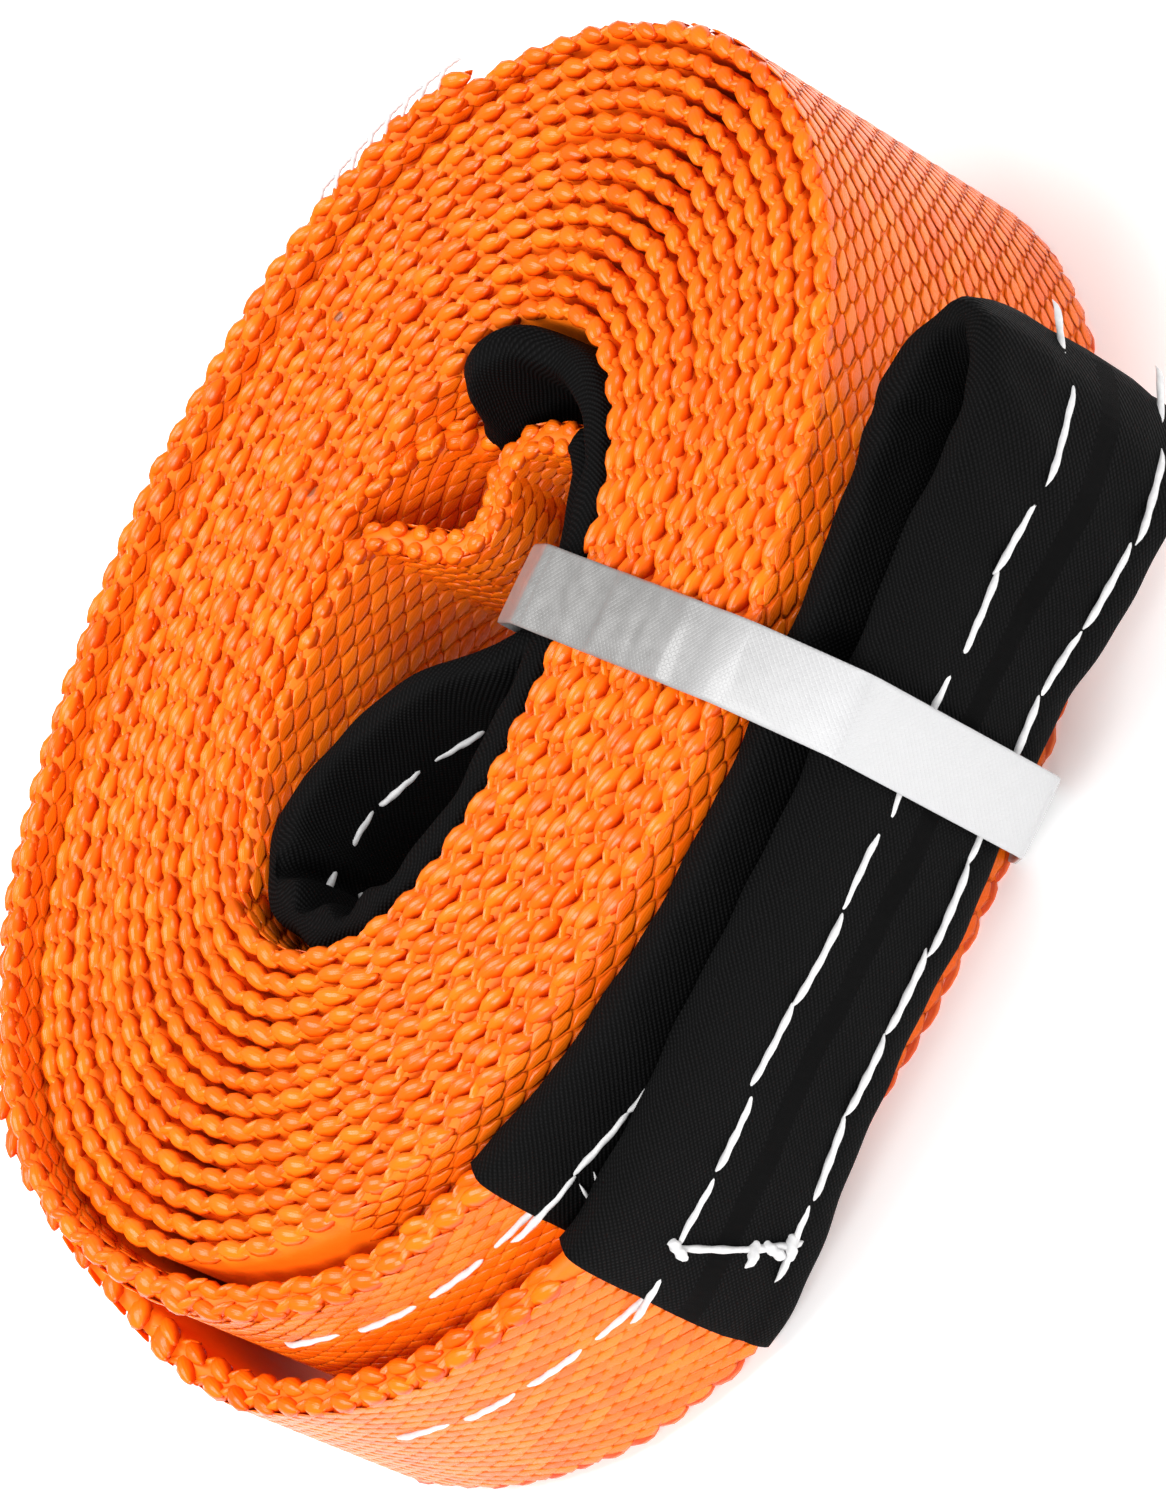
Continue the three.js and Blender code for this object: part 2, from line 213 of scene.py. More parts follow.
inner_tail = [
    bend_place(26.5, 0.5, 43),
    bend_place(21.5, 4.2, 43.5),
    bend_place(15.5, 2.4, 43.5),
    bend_place(10.6, 6.2, 44),
    bend_place(9.6, 12.5, 45.5),
    place(inside_core(84, TURN_AWAY + 1.6), 4, 48.5, WEBBING_THICKNESS * 1.4),
    place(inside_core(104, TURN_AWAY), 1, 49, WEBBING_THICKNESS),
    place(inside_core(122, TURN_AWAY), 1, 49, WEBBING_THICKNESS),
    place(inside_core(138, 0.2), 1, 49, WEBBING_THICKNESS),
]
outer_places = np.array(last_turn + outer_eye + outer_tail)
inner_places = np.array(first_turn + inner_eye + inner_tail)
OUTER_EYE = (len(last_turn), len(last_turn) + len(outer_eye) - 1)
INNER_EYE = (len(first_turn), len(first_turn) + len(inner_eye) - 1)
print("places:", len(outer_places), "outer and", len(inner_places), "inner")


# %% A smooth path through the places, and even steps along it
def smooth(places, u):
    """Uniform Catmull-Rom through the rows of places, at fractional row numbers u."""
    rows = np.vstack([2 * places[0] - places[1], places, 2 * places[-1] - places[-2]])
    i = np.clip(np.floor(u).astype(int), 0, len(places) - 2)
    t = (u - i)[:, None]
    a, b, c, d = rows[i], rows[i + 1], rows[i + 2], rows[i + 3]
    tangents = (c - a) / 2, (d - b) / 2
    cubic = 2 * b - 2 * c + tangents[0] + tangents[1]
    square = -3 * b + 3 * c - 2 * tangents[0] - tangents[1]
    return cubic * t**3 + square * t**2 + tangents[0] * t + b


def even_steps(path, step):
    """The same path with rows step millimetres apart in plan, and how far along each one is."""
    reach = np.concatenate([[0], np.cumsum(np.hypot(*np.diff(path[:, :2], axis=0).T))])
    count = max(2, int(round(reach[-1] / step)) + 1)
    at = np.linspace(0, reach[-1], count)
    return np.stack([np.interp(at, reach, column) for column in path.T], axis=1), at


def directions(path):
    """Unit vectors along the path and to its left, level."""
    along = np.gradient(path[:, :2], axis=0)
    along /= np.linalg.norm(along, axis=1)[:, None]
    return along, np.stack([-along[:, 1], along[:, 0]], axis=1)


def run(places, start, stop, step):
    u = np.linspace(start, stop, int(abs(stop - start) * 24) + 2)
    return even_steps(smooth(places, u), step)[0]


ROLL_TOP_DROP, LAYER_GAP = 0.35, 0.25


def roll_run(start, stop, step):
    """The layers of the roll between two angles, as places."""
    angle = np.arange(start, stop, 2.0)
    point = spiral(angle, pitch_at(angle) / 2)
    wave = 0.35 * np.sin(np.radians(angle) * 0.83) + 0.25 * np.sin(np.radians(angle) * 2.31 + 1)
    low, high = 0 * angle, WEBBING_WIDTH - ROLL_TOP_DROP + wave
    return even_steps(np.column_stack([point, low, high, pitch_at(angle) - LAYER_GAP]), step)[0]


# %% [markdown]
# ## Small tools for meshes and node trees
# Every mesh is made from arrays of millimetres that are moved to the frame's origin. Two classes
# let a node tree be written as a sentence: one makes nodes, the other makes a socket take part in
# plain arithmetic.

# %% Meshes from arrays
def to_frame(points):
    return (np.asarray(points, float) - FOOTPRINT_MIDDLE) * MM


def mesh_object(name, points, faces=(), attributes=None, uv=None):
    mesh = bpy.data.meshes.new(name)
    mesh.from_pydata(to_frame(points).tolist(), [], [tuple(map(int, f)) for f in faces])
    for title, values in (attributes or {}).items():
        layer = mesh.attributes.new(title, "FLOAT_VECTOR", "POINT")
        layer.data.foreach_set("vector", np.asarray(values, float).ravel())
    if uv is not None:
        layer = mesh.uv_layers.new(name="UVMap")
        corner = np.zeros(len(mesh.loops), int)
        mesh.loops.foreach_get("vertex_index", corner)
        layer.data.foreach_set("uv", np.asarray(uv, float)[corner].ravel())
    mesh.polygons.foreach_set("use_smooth", [True] * len(mesh.polygons))
    mesh.update()
    obj = bpy.data.objects.new(name, mesh)
    bpy.context.scene.collection.objects.link(obj)
    return obj


def tube_faces(stations, around, closed=False, flip=False):
    """Quads of a tube whose rings hold their points in turn; ends are left for caps."""
    i, j = np.meshgrid(np.arange(stations if closed else stations - 1), np.arange(around), indexing="ij")
    nxt, side = (i + 1) % stations, (j + 1) % around
    quads = np.stack([i * around + j, nxt * around + j, nxt * around + side, i * around + side], axis=-1)
    quads = quads.reshape(-1, 4)
    return quads[:, ::-1] if flip else quads


def fix_normals(obj):
    shape = bmesh.new()
    shape.from_mesh(obj.data)
    bmesh.ops.recalc_face_normals(shape, faces=shape.faces[:])
    shape.to_mesh(obj.data)
    shape.free()
    return obj


# %% Shader trees as expressions
class Wire:
    """A socket, with its tree, that arithmetic can be done on."""

    def __init__(self, tree, socket):
        self.tree, self.socket = tree, socket

    def maths(self, operation, first, second=None):
        values = {0: first} if second is None else {0: first, 1: second}
        return self.tree.node("ShaderNodeMath", {"operation": operation}, values)

    def __add__(self, other):
        return self.maths("ADD", self, other)

    def __sub__(self, other):
        return self.maths("SUBTRACT", self, other)

    def __mul__(self, other):
        return self.maths("MULTIPLY", self, other)

    def __rsub__(self, other):
        return self.maths("SUBTRACT", other, self)

    def __pow__(self, other):
        return self.maths("POWER", self, other)

    __radd__, __rmul__ = __add__, __mul__

    def sine(self):
        return self.maths("SINE", self)

    def size(self):
        return self.maths("ABSOLUTE", self)

    def above(self, edge, soft):
        """0 below edge, 1 above edge + soft, and smooth between."""
        inputs = {"Value": self, "From Min": edge, "From Max": edge + soft}
        settings = {"interpolation_type": "SMOOTHSTEP"}
        return self.tree.node("ShaderNodeMapRange", settings, inputs)


class Tree:
    """Makes nodes in a tree; values for sockets may be numbers, colours or wires."""

    def __init__(self, nodes):
        self.nodes = nodes

    def node(self, kind, settings=None, inputs=None, output=0):
        made = self.nodes.nodes.new(kind)
        for key, value in (settings or {}).items():
            setattr(made, key, value)
        for key, value in (inputs or {}).items():
            if isinstance(value, Wire):
                self.nodes.links.new(value.socket, made.inputs[key])
            else:
                made.inputs[key].default_value = value
        return Wire(self, made.outputs[output])

    def split(self, vector):
        """The three parts of a vector."""
        parts = self.node("ShaderNodeSeparateXYZ", {}, {0: vector})
        return [Wire(self, parts.socket.node.outputs[k]) for k in range(3)]

    def position(self):
        return self.node("ShaderNodeTexCoord", output=3)

    def noise(self, where, scale, detail=3.0):
        return self.node("ShaderNodeTexNoise", {}, {"Vector": where, "Scale": scale, "Detail": detail})

    def surface(self, colour, roughness, bump, rest):
        """A shader with a colour, a roughness, and a bump said as height, strength and distance."""
        normal = self.node("ShaderNodeBump", {}, dict(zip(("Height", "Strength", "Distance"), bump)))
        inputs = {"Base Color": colour, "Roughness": roughness, "Normal": normal}
        return self.node("ShaderNodeBsdfPrincipled", {}, inputs | rest)


def mixed(tree, factor, first, second):
    """One colour over another by a factor."""
    made = tree.nodes.nodes.new("ShaderNodeMix")
    made.data_type = "RGBA"
    for key, value in ((0, factor), (6, first), (7, second)):
        if isinstance(value, Wire):
            tree.nodes.links.new(value.socket, made.inputs[key])
        else:
            made.inputs[key].default_value = value if key == 0 else (*value, 1)
    return Wire(tree, made.outputs[2])


def finish_of(name, build):
    material = bpy.data.materials.new(name)
    material.use_nodes = True
    material.node_tree.nodes.clear()
    tree = Tree(material.node_tree)
    shader = build(tree)
    output = material.node_tree.nodes.new("ShaderNodeOutputMaterial")
    material.node_tree.links.new(shader.socket, output.inputs["Surface"])
    return material


# %% [markdown]
# ## Finishes
# Polyester webbing is made of bundles of fine, shiny, parallel threads. The bundles are geometry
# here, so the finish only adds what is smaller: the single threads in a bundle as bump, a little
# difference from bundle to bundle, painted shade as a redder tone low between them, and a few dark
# specks.

# %% Orange polyester
ORANGE = (0.86, 0.112, 0.001)
LIGHT_ORANGE = (0.98, 0.180, 0.004)
# Painted shade: the deep red that stands for the shade low between the floats
PAINTED_SHADE_ORANGE = (0.56, 0.036, 0.001)
SPECK = (0.10, 0.045, 0.02)
# Each mark of dirt: its x and y in the frame and how far it reaches, in metres
SPECK_PLACES = ((0.0191, 0.0382, 0.0016), (0.0411, 0.0478, 0.0011), (-0.0109, -0.0442, 0.0009))


def specks(tree, position):
    """Marks of dirt: three that the photograph shows, on the roll's upper end, and faint dust."""
    noise = tree.noise(position, 700.0)
    marks = noise.above(0.78, 0.04) * 0.3
    for x, y, reach in SPECK_PLACES:
        inputs = {0: position, 1: (x, y, WEBBING_WIDTH * MM)}
        away = tree.node("ShaderNodeVectorMath", {"operation": "DISTANCE"}, inputs, output=1)
        marks = marks + (1 - (away + noise * 0.0012).above(reach, 0.0006))
    return marks


def woven_orange(painted_shade_share, gloss):
    """A finish for floats: how far painted shade reddens them low between the floats, and how rough the
    gloss.
    """

    def build(tree):
        position = tree.position()
        grain = tree.node("ShaderNodeAttribute", {"attribute_name": "grain"}, output=1)
        across, height, _ = tree.split(grain)
        shade = tree.node("ShaderNodeAttribute", {"attribute_name": "shade"}, output=2)
        colour = mixed(tree, shade, ORANGE, LIGHT_ORANGE)
        # Painted shade: the lower part of each float is mixed toward deep red, where shade falls between
        # them
        colour = mixed(tree, (1 - height).above(0.45, 0.7) * painted_shade_share, colour, PAINTED_SHADE_ORANGE)
        colour = mixed(tree, specks(tree, position) * 0.8, colour, SPECK)
        threads = (across * 20 + shade * 9).sine() * 0.5 + 0.5
        fuzz = tree.noise(position, 900.0)
        bump = (threads * 0.6 + fuzz * 0.5, 0.22, 0.00012)
        return tree.surface(colour, fuzz * 0.14 + gloss, bump, {"Specular IOR Level": 0.30})

    return build


def plain_orange(tree):
    fuzz = tree.noise(tree.position(), 420.0)
    colour = mixed(tree, fuzz, (0.90, 0.150, 0.002), LIGHT_ORANGE)
    return tree.surface(colour, 0.45 + fuzz * 0.1, (fuzz, 0.5, 0.0003), {"Specular IOR Level": 0.25})


# %% [markdown]
# The sleeves are black twill: fine diagonal ribs, matt, with grey lint where the cloth rubs. The
# ribs also carry painted light: the raised threads are painted lighter as highlight, and the
# grooves darker as shade. The pattern follows the cloth, so it reads the piece's UV map, which is
# laid out in millimetres.

# %% Black sleeve cloth
RIBS, THREADS = 8.5, 9.6


def black_twill(tree):
    uv = tree.node("ShaderNodeUVMap", {"uv_map": "UVMap"})
    along, around, _ = tree.split(uv)
    wobble = tree.noise(uv, 0.35, 2.0)
    ribs = (along * RIBS + around * RIBS + wobble * 2).sine() * 0.5 + 0.5
    threads = (along * THREADS - around * THREADS).sine() * 0.5 + 0.5
    weave = ribs * (0.35 + threads * 0.65)
    lint = tree.noise(uv, 2.2, 6.0)
    # Painted highlight and shade: the colour follows the weave, lighter on raised threads, near black in the
    # grooves
    colour = mixed(tree, weave * 0.75, (0.0003, 0.0003, 0.0003), (0.010, 0.010, 0.0103))
    colour = mixed(tree, lint.above(0.62, 0.2) * 0.2, colour, (0.05, 0.05, 0.052))
    bump = (weave + lint * 0.4, 0.75, 0.00022)
    return tree.surface(colour, 0.62 + lint * 0.2, bump, {"Specular IOR Level": 0.06})


# %% [markdown]
# The band is thin white plastic with a fine crossed emboss that shows in its gloss. Its colour is
# a grey as painted shade, turning paler toward the front as painted light, as in the photograph.
# The sewing thread is two plies of white-grey polyester.

# %% Band plastic and sewing thread
EMBOSS = 4.2
LIT_FRONT_FROM, LIT_FRONT_OVER = -0.085, 0.055


def band_plastic(tree):
    uv = tree.node("ShaderNodeUVMap", {"uv_map": "UVMap"})
    along, across, _ = tree.split(uv)
    left = (along * EMBOSS + across * EMBOSS).sine()
    right = (along * EMBOSS - across * EMBOSS).sine()
    emboss = (left.size() * right.size()).above(0.05, 0.4)
    cloud = tree.noise(uv, 0.5, 4.0)
    # Painted light: toward the front the band is mixed toward pale white, where the light falls
    front = 1 - tree.split(tree.position())[1].above(LIT_FRONT_FROM, LIT_FRONT_OVER)
    # Painted shade: elsewhere the white band is a grey, with a random cloud in it
    colour = mixed(tree, cloud, (0.17, 0.165, 0.16), (0.30, 0.295, 0.29))
    colour = mixed(tree, front, colour, (0.58, 0.58, 0.59))
    bump = (emboss * 0.7 + cloud * 0.5, 0.35, 0.00015)
    rest = {"Specular IOR Level": 0.55, "Coat Weight": 0.15}
    return tree.surface(colour, 0.24 + cloud * 0.18, bump, rest)


def thread_polyester(tree):
    lint = tree.noise(tree.position(), 1300.0)
    colour = mixed(tree, lint, (0.50, 0.50, 0.52), (0.80, 0.79, 0.77))
    return tree.surface(colour, 0.5 + lint * 0.1, (lint, 0.4, 0.0001), {})


rope_orange = finish_of("rope_orange", woven_orange(0.8, 0.17))
face_orange = finish_of("face_orange", woven_orange(0.0, 0.2))
ground_orange = finish_of("webbing_ground", plain_orange)
twill = finish_of("black_twill", black_twill)
plastic = finish_of("band_plastic", band_plastic)
thread = finish_of("sewing_thread", thread_polyester)

# %% [markdown]
# ## The webbing's ground
# Under the floats of the weave lies the body of the webbing. It is one ribbon swept along the
# whole route, from the inner tail through the roll to the outer tail, with its long edges rounded.

# %% One ribbon along a path
RIBBON_SECTION = [(-0.5, 0.06), (-0.5, 0.94), (-0.3, 1), (0.3, 1)]
RIBBON_SECTION += [(0.5, 0.94), (0.5, 0.06), (0.3, 0), (-0.3, 0)]
SUNK = 0.25
HIDDEN_RISE, HIDDEN_DROP, HIDDEN_THINNESS = 4, 3, 0.6


def ribbon(name, path):
    along, aside = directions(path)
    rings = []
    for across, level in RIBBON_SECTION:
        width = (path[:, 4] - 2 * SUNK) * across
        height = path[:, 2] + SUNK * 2 + (path[:, 3] - path[:, 2] - SUNK * 4) * level
        rings.append(np.column_stack([path[:, :2] + aside * width[:, None], height]))
    points = np.stack(rings, axis=1).reshape(-1, 3)
    count, around = len(path), len(RIBBON_SECTION)
    faces = tube_faces(count, around).tolist()
    faces += [list(range(around)), list(range((count - 1) * around, count * around))]
    obj = fix_normals(mesh_object(name, points, faces))
    obj.data.materials.append(ground_orange)
    return obj


def hidden_in(places, eye):
    """The places with the webbing drawn in where a sleeve covers it."""
    drawn = places.copy()
    drawn[eye[0] + 1:eye[1], 2] += HIDDEN_RISE
    drawn[eye[0] + 1:eye[1], 3] -= HIDDEN_DROP
    drawn[eye[0] + 1:eye[1], 4] *= HIDDEN_THINNESS
    return drawn


last_index = len(outer_places) - 1
inner_last = len(inner_places) - 1
full_roll = roll_run(FIRST_ANGLE + 8, (FULL_TURNS - 1) * 360 + 2, 2.6)
roll_path = np.vstack([full_roll, run(hidden_in(outer_places, OUTER_EYE), 0, last_index, 2.0)])
inner_path = run(hidden_in(inner_places, INNER_EYE), 0, inner_last, 1.6)
rolled_webbing = ribbon("rolled_webbing", roll_path)
inner_webbing = ribbon("inner_eye_webbing", inner_path)
print("webbing:", round(even_steps(roll_path, 5)[1][-1] + even_steps(inner_path, 5)[1][-1]), "mm long")

# %% [markdown]
# ## The weave's floats
# A float is the stretch of a bundle that lies on top of the cloth: a slim lens, pointed at both
# ends. On the flat faces the lenses lie in rows like bricks. Along each edge of the webbing they
# wrap round it one after the other, slanted, which makes the edge look like a rope. There are
# thousands of them and they follow the webbing, so Geometry Nodes set one lens on every point.

# %% The tree that sets lenses on points
class Geometry(Tree):
    """A geometry tree with one object's mesh in and one mesh out."""

    def __init__(self, name, sizes):
        group = bpy.data.node_groups.new(name, "GeometryNodeTree")
        socket = group.interface.new_socket
        socket("Geometry", in_out="INPUT", socket_type="NodeSocketGeometry")
        for title, value in sizes.items():
            size = socket(title, in_out="INPUT", socket_type="NodeSocketFloat")
            size.default_value = value
        socket("Finish", in_out="INPUT", socket_type="NodeSocketMaterial")
        socket("Geometry", in_out="OUTPUT", socket_type="NodeSocketGeometry")
        super().__init__(group)
        self.inputs = group.nodes.new("NodeGroupInput")

    def given(self, title):
        return Wire(self, self.inputs.outputs[title])

    def done(self, geometry):
        real = self.node("GeometryNodeRealizeInstances", {}, {0: geometry})
        painted = {"Geometry": real, "Material": self.given("Finish")}
        painted = self.node("GeometryNodeSetMaterial", {}, painted)
        output = self.nodes.nodes.new("NodeGroupOutput")
        self.nodes.links.new(painted.socket, output.inputs[0])
        return self.nodes

    def field(self, name):
        return self.node("GeometryNodeInputNamedAttribute", {"data_type": "FLOAT_VECTOR"}, {"Name": name})

    def set_on_points(self, piece, shaped):
        """Shapes one piece by a formula and sets it on every given point, turned and sized."""
        piece = {"Geometry": piece, "Position": self.node("ShaderNodeCombineXYZ", {}, shaped)}
        piece = self.node("GeometryNodeSetPosition", {}, piece)
        piece = self.node("GeometryNodeSetShadeSmooth", {}, {"Geometry": piece})
        axes = {"Primary Axis": self.field("along"), "Secondary Axis": self.field("out")}
        settings = {"primary_axis": "Z", "secondary_axis": "Y"}
        turned = self.node("FunctionNodeAxesToRotation", settings, axes)
        laid = {"Points": self.given("Geometry"), "Instance": piece}
        laid |= {"Rotation": turned, "Scale": self.field("size")}
        return self.node("GeometryNodeInstanceOnPoints", {}, laid)


def lens_tree(name, segments, rings):
    sizes = {"Lens Length": 6.2, "Lens Width": 2.6, "Lens Height": 1.1, "Point Sharpness": 0.42}
    tree = Geometry(name, sizes)
    ball = {"Segments": segments, "Rings": rings, "Radius": 1.0}
    ball = tree.node("GeometryNodeMeshUVSphere", {}, ball)
    grain = {"Geometry": ball, "Name": "grain", "Value": tree.node("GeometryNodeInputPosition")}
    ball = tree.node("GeometryNodeStoreNamedAttribute", {"data_type": "FLOAT_VECTOR"}, grain)
    x, y, z = tree.split(tree.node("GeometryNodeInputPosition"))
    taper = (1.0001 - z * z) ** tree.given("Point Sharpness")
    half = 0.5 * MM
    shaped = {
        "X": x * taper * tree.given("Lens Width") * half,
        "Y": y * taper * tree.given("Lens Height") * MM,
        "Z": z * tree.given("Lens Length") * half,
    }
    laid = tree.set_on_points(ball, shaped)
    chance = tree.node("FunctionNodeRandomValue", {"data_type": "FLOAT"}, {"Seed": 4}, output=1)
    shaded = {"Geometry": laid, "Name": "shade", "Value": chance}
    settings = {"data_type": "FLOAT", "domain": "INSTANCE"}
    return tree.done(tree.node("GeometryNodeStoreNamedAttribute", settings, shaded))


def grown(name, points, tree, finish, sizes, attributes):
    """Runs a geometry tree on bare points and gives back a plain mesh object."""
    seed = mesh_object(name + "_points", points, attributes=attributes)
    modifier = seed.modifiers.new("grow", "NODES")
    modifier.node_group = tree
    for item in tree.interface.items_tree:
        if item.in_out == "INPUT" and item.name in sizes:
            modifier[item.identifier] = sizes[item.name]
        if item.in_out == "INPUT" and item.name == "Finish":
            modifier[item.identifier] = finish
    evaluated = seed.evaluated_get(bpy.context.evaluated_depsgraph_get())
    mesh = bpy.data.meshes.new_from_object(evaluated)
    seed.modifiers.remove(modifier)
    bpy.data.objects.remove(seed)
    mesh.name = name
    obj = bpy.data.objects.new(name, mesh)
    bpy.context.scene.collection.objects.link(obj)
    triangles = sum(len(p.vertices) - 2 for p in mesh.polygons)
    print(f"{name}: {len(points)} set, {triangles} triangles")
    return obj


round_floats = lens_tree("lay_edge_floats", 8, 6)
flat_floats = lens_tree("lay_face_floats", 6, 4)

# %% [markdown]
# ### Rope edges
# The lenses of an edge lean outward as they go along, and dip at one end under the next one. A
# folded leg shows two edges side by side, so it gets two rows.

# %% Lenses along the edges
EDGE_STEP = 4.9
EDGE_SLANT = math.radians(15)
EDGE_DIP = 0.13
EDGE_SINK = 0.85
NECK_SLANT, NECK_SINK = 0.55, 0.25
LENS_WIDTH, LENS_LENGTH = 2.75, 5.6
FOLD_OFFSET, FOLD_SPREAD = 1.15, 0.56


def edge_rows(path, top, offset=0.0, spread=1.0, fineness=1.0):
    """Points for one row of edge lenses: position, along, out and size."""
    path, reach = even_steps(path, EDGE_STEP * fineness)
    along, aside = directions(path)
    up = 1.0 if top else -1.0
    count = len(path)
    level = path[:, 3] - EDGE_SINK if top else path[:, 2] + EDGE_SINK
    level = level + RNG.uniform(-0.16, 0.16, count)
    centre = path[:, :2] + aside * (offset + RNG.uniform(-0.1, 0.1, count))[:, None]
    slant = (EDGE_SLANT if top else 0.0) + RNG.uniform(-0.12, 0.12, count)
    lean = along * np.cos(slant)[:, None] - aside * np.sin(slant)[:, None]
    heading = np.column_stack([lean, np.full(count, -EDGE_DIP * up)])
    width = path[:, 4] * spread / LENS_WIDTH * RNG.uniform(0.92, 1.06, count)
    length = fineness * RNG.uniform(0.92, 1.12, count)
    size = np.column_stack([width, RNG.uniform(0.9, 1.1, count) * math.sqrt(fineness), length])
    out = np.tile([0, 0, up], (count, 1))
    beads = np.column_stack([centre, level]), heading, out, size
    if not top:
        return beads
    # The bundle that crosses under two lenses, lower and slanted the other way
    half = np.roll(centre, -1, axis=0)[:-1] * 0.5 + centre[:-1] * 0.5
    cross = along[:-1] * math.cos(NECK_SLANT) + aside[:-1] * math.sin(NECK_SLANT)
    neck_level = level[:-1] - NECK_SINK
    neck_size = np.column_stack([width[:-1] * 0.52, size[:-1, 1] * 0.95, length[:-1] * 0.8])
    neck_centre, neck_heading = np.column_stack([half, neck_level]), np.column_stack([cross, 0 * neck_level])
    necks = neck_centre, neck_heading, out[:-1], neck_size
    return tuple(np.vstack(pair) for pair in zip(beads, necks))


def gathered(parts):
    points, along, out, size = (np.vstack([part[k] for part in parts]) for k in range(4))
    return points, {"along": along, "out": out, "size": size}


def edge_parts(top):
    leg_start, tail_end, tail_start = 10.5, OUTER_EYE[1] + 4.5, INNER_EYE[1] + 6
    parts = [
        edge_rows(np.vstack([full_roll, run(outer_places, 0, leg_start, 2)]), top),
        edge_rows(run(outer_places, tail_end, last_index, 2), top),
        edge_rows(run(inner_places, tail_start, inner_last, 2), top, 0.0, 0.9, 0.8),
    ]
    folded = [
        (run(outer_places, leg_start, OUTER_EYE[0] - 0.15, 2), 1.0),
        (run(outer_places, OUTER_EYE[1] + 0.4, tail_end, 2), 1.0),
        (run(inner_places, INNER_EYE[1] + 0.1, tail_start, 1), 0.6),
        (run(inner_places, 0, INNER_EYE[0] - 0.1, 1), 0.8),
    ]
    for path, fineness in folded:
        offsets = (-FOLD_OFFSET, FOLD_OFFSET)
        parts += [edge_rows(path, top, offset, FOLD_SPREAD, fineness) for offset in offsets]
    return parts


edge_size = {"Lens Length": LENS_LENGTH, "Lens Width": LENS_WIDTH}
edge_size |= {"Lens Height": 1.35, "Point Sharpness": 0.36}
edge_pieces = []
for title, top in (("top_edge_floats", True), ("bottom_edge_floats", False)):
    points, fields = gathered(edge_parts(top))
    edge_pieces.append(grown(title, points, round_floats, rope_orange, edge_size, fields))

# %% [markdown]
# ### Flat faces
# Only faces that show get lenses: the outside of the last turn, the tail and the legs, the wall
# of the core, and the strip of the last turn that stands proud of the roll.

# %% Lenses on the faces
ROW_STEP = 1.62
FLOAT_STEP = 4.3
FACE_MARGIN, FACE_SINK = 1.2, 0.12


def face_rows(path, side, low_share=0.0, high_share=1.0):
    """Brick rows of lenses on one face of a path; side is +1 for its left."""
    path = even_steps(path, FLOAT_STEP / 2)[0]
    along, aside = directions(path)
    parts = []
    height = path[:, 3] - path[:, 2]
    rows = int(height.max() * (high_share - low_share) / ROW_STEP)
    for row in range(rows):
        share = low_share + (high_share - low_share) * (row + 0.5) / rows
        pick = np.arange(len(path)) % 2 == row % 2
        here, count = path[pick], pick.sum()
        level = here[:, 2] + FACE_MARGIN + (height[pick] - 2 * FACE_MARGIN) * share
        level = level + RNG.uniform(-0.08, 0.08, count)
        out = aside[pick] * side
        centre = here[:, :2] + out * (here[:, 4] / 2 - FACE_SINK)[:, None]
        heading = np.column_stack([along[pick], RNG.uniform(-0.05, 0.05, count)])
        size = np.column_stack([RNG.uniform(0.92, 1.06, (count, 2)), RNG.uniform(0.94, 1.06, count)])
        centre, out = np.column_stack([centre, level]), np.column_stack([out, 0 * level])
        parts.append((centre, heading, out, size))
    return parts


def contour_run(start, stop, inner):
    """The roll's own outer or inner skin between two angles of the spiral."""
    angle = np.arange(start, stop, 1.5)
    away = pitch_at(angle) / 2
    point = spiral(angle, away if inner else away - pitch_at(angle))
    size = np.column_stack([0 * angle, 0 * angle + WEBBING_WIDTH, pitch_at(angle) - 0.1])
    return np.column_stack([point, size])


RIGHT, LEFT = -1, 1
turn_base = (FULL_TURNS - 1) * 360
outside = face_rows(contour_run(turn_base + 222, turn_base + 364, False), RIGHT)
outside += face_rows(run(outer_places, 0, 3.2, 2), RIGHT)
outside += face_rows(run(outer_places, 8.5, OUTER_EYE[0] - 0.05, 2), RIGHT)
outside += face_rows(run(outer_places, OUTER_EYE[1] + 0.1, last_index, 2), LEFT)
face_size = {"Lens Length": 4.5, "Lens Width": 2.3, "Lens Height": 0.17, "Point Sharpness": 0.7}
points, fields = gathered(outside)
outer_floats = grown("outer_face_floats", points, flat_floats, face_orange, face_size, fields)

inside = face_rows(contour_run(FIRST_ANGLE + 8, FIRST_ANGLE + 170, True), LEFT)
inside += face_rows(run(outer_places, 1.5, OUTER_EYE[0] - 1, 2), LEFT, 0.88, 1.0)
inside += face_rows(run(inner_places, INNER_EYE[1], inner_last, 1), LEFT)
inside += face_rows(run(inner_places, INNER_EYE[1], INNER_EYE[1] + 6, 1), RIGHT)
inside += face_rows(run(inner_places, 0, INNER_EYE[0], 1), RIGHT)
points, fields = gathered(inside)
inner_floats = grown("inner_face_floats", points, flat_floats, face_orange, face_size, fields)

# %% [markdown]
# ## The sleeves
# A sleeve is a strip of cloth sewn into a flat tube round the folded webbing. It is swept along
# the same path as the webbing inside it. The seams pull it in, and at the bends it puckers.

# %% A cloth tube along a path
SLEEVE_WALL = 0.7
SEAM_SHARES = (0.36, 0.83)
SEAM_DENT = 0.13
OUTER_GIRTH, INNER_GIRTH = 78, 80
AROUND = 44


def sleeve_section(count):
    """Points round a flat tube: share of the half thickness, and share of the height from the top."""
    turn = np.linspace(0, 2 * math.pi, count, endpoint=False)
    level = (1 - np.sign(np.sin(turn)) * np.abs(np.sin(turn)) ** 0.85) / 2
    bulge = np.sign(np.cos(turn)) * np.abs(np.cos(turn)) ** 0.42
    dent = sum(np.exp(-(((level - seam) / 0.035) ** 2)) for seam in SEAM_SHARES)
    return bulge * (1 - SEAM_DENT * dent), level


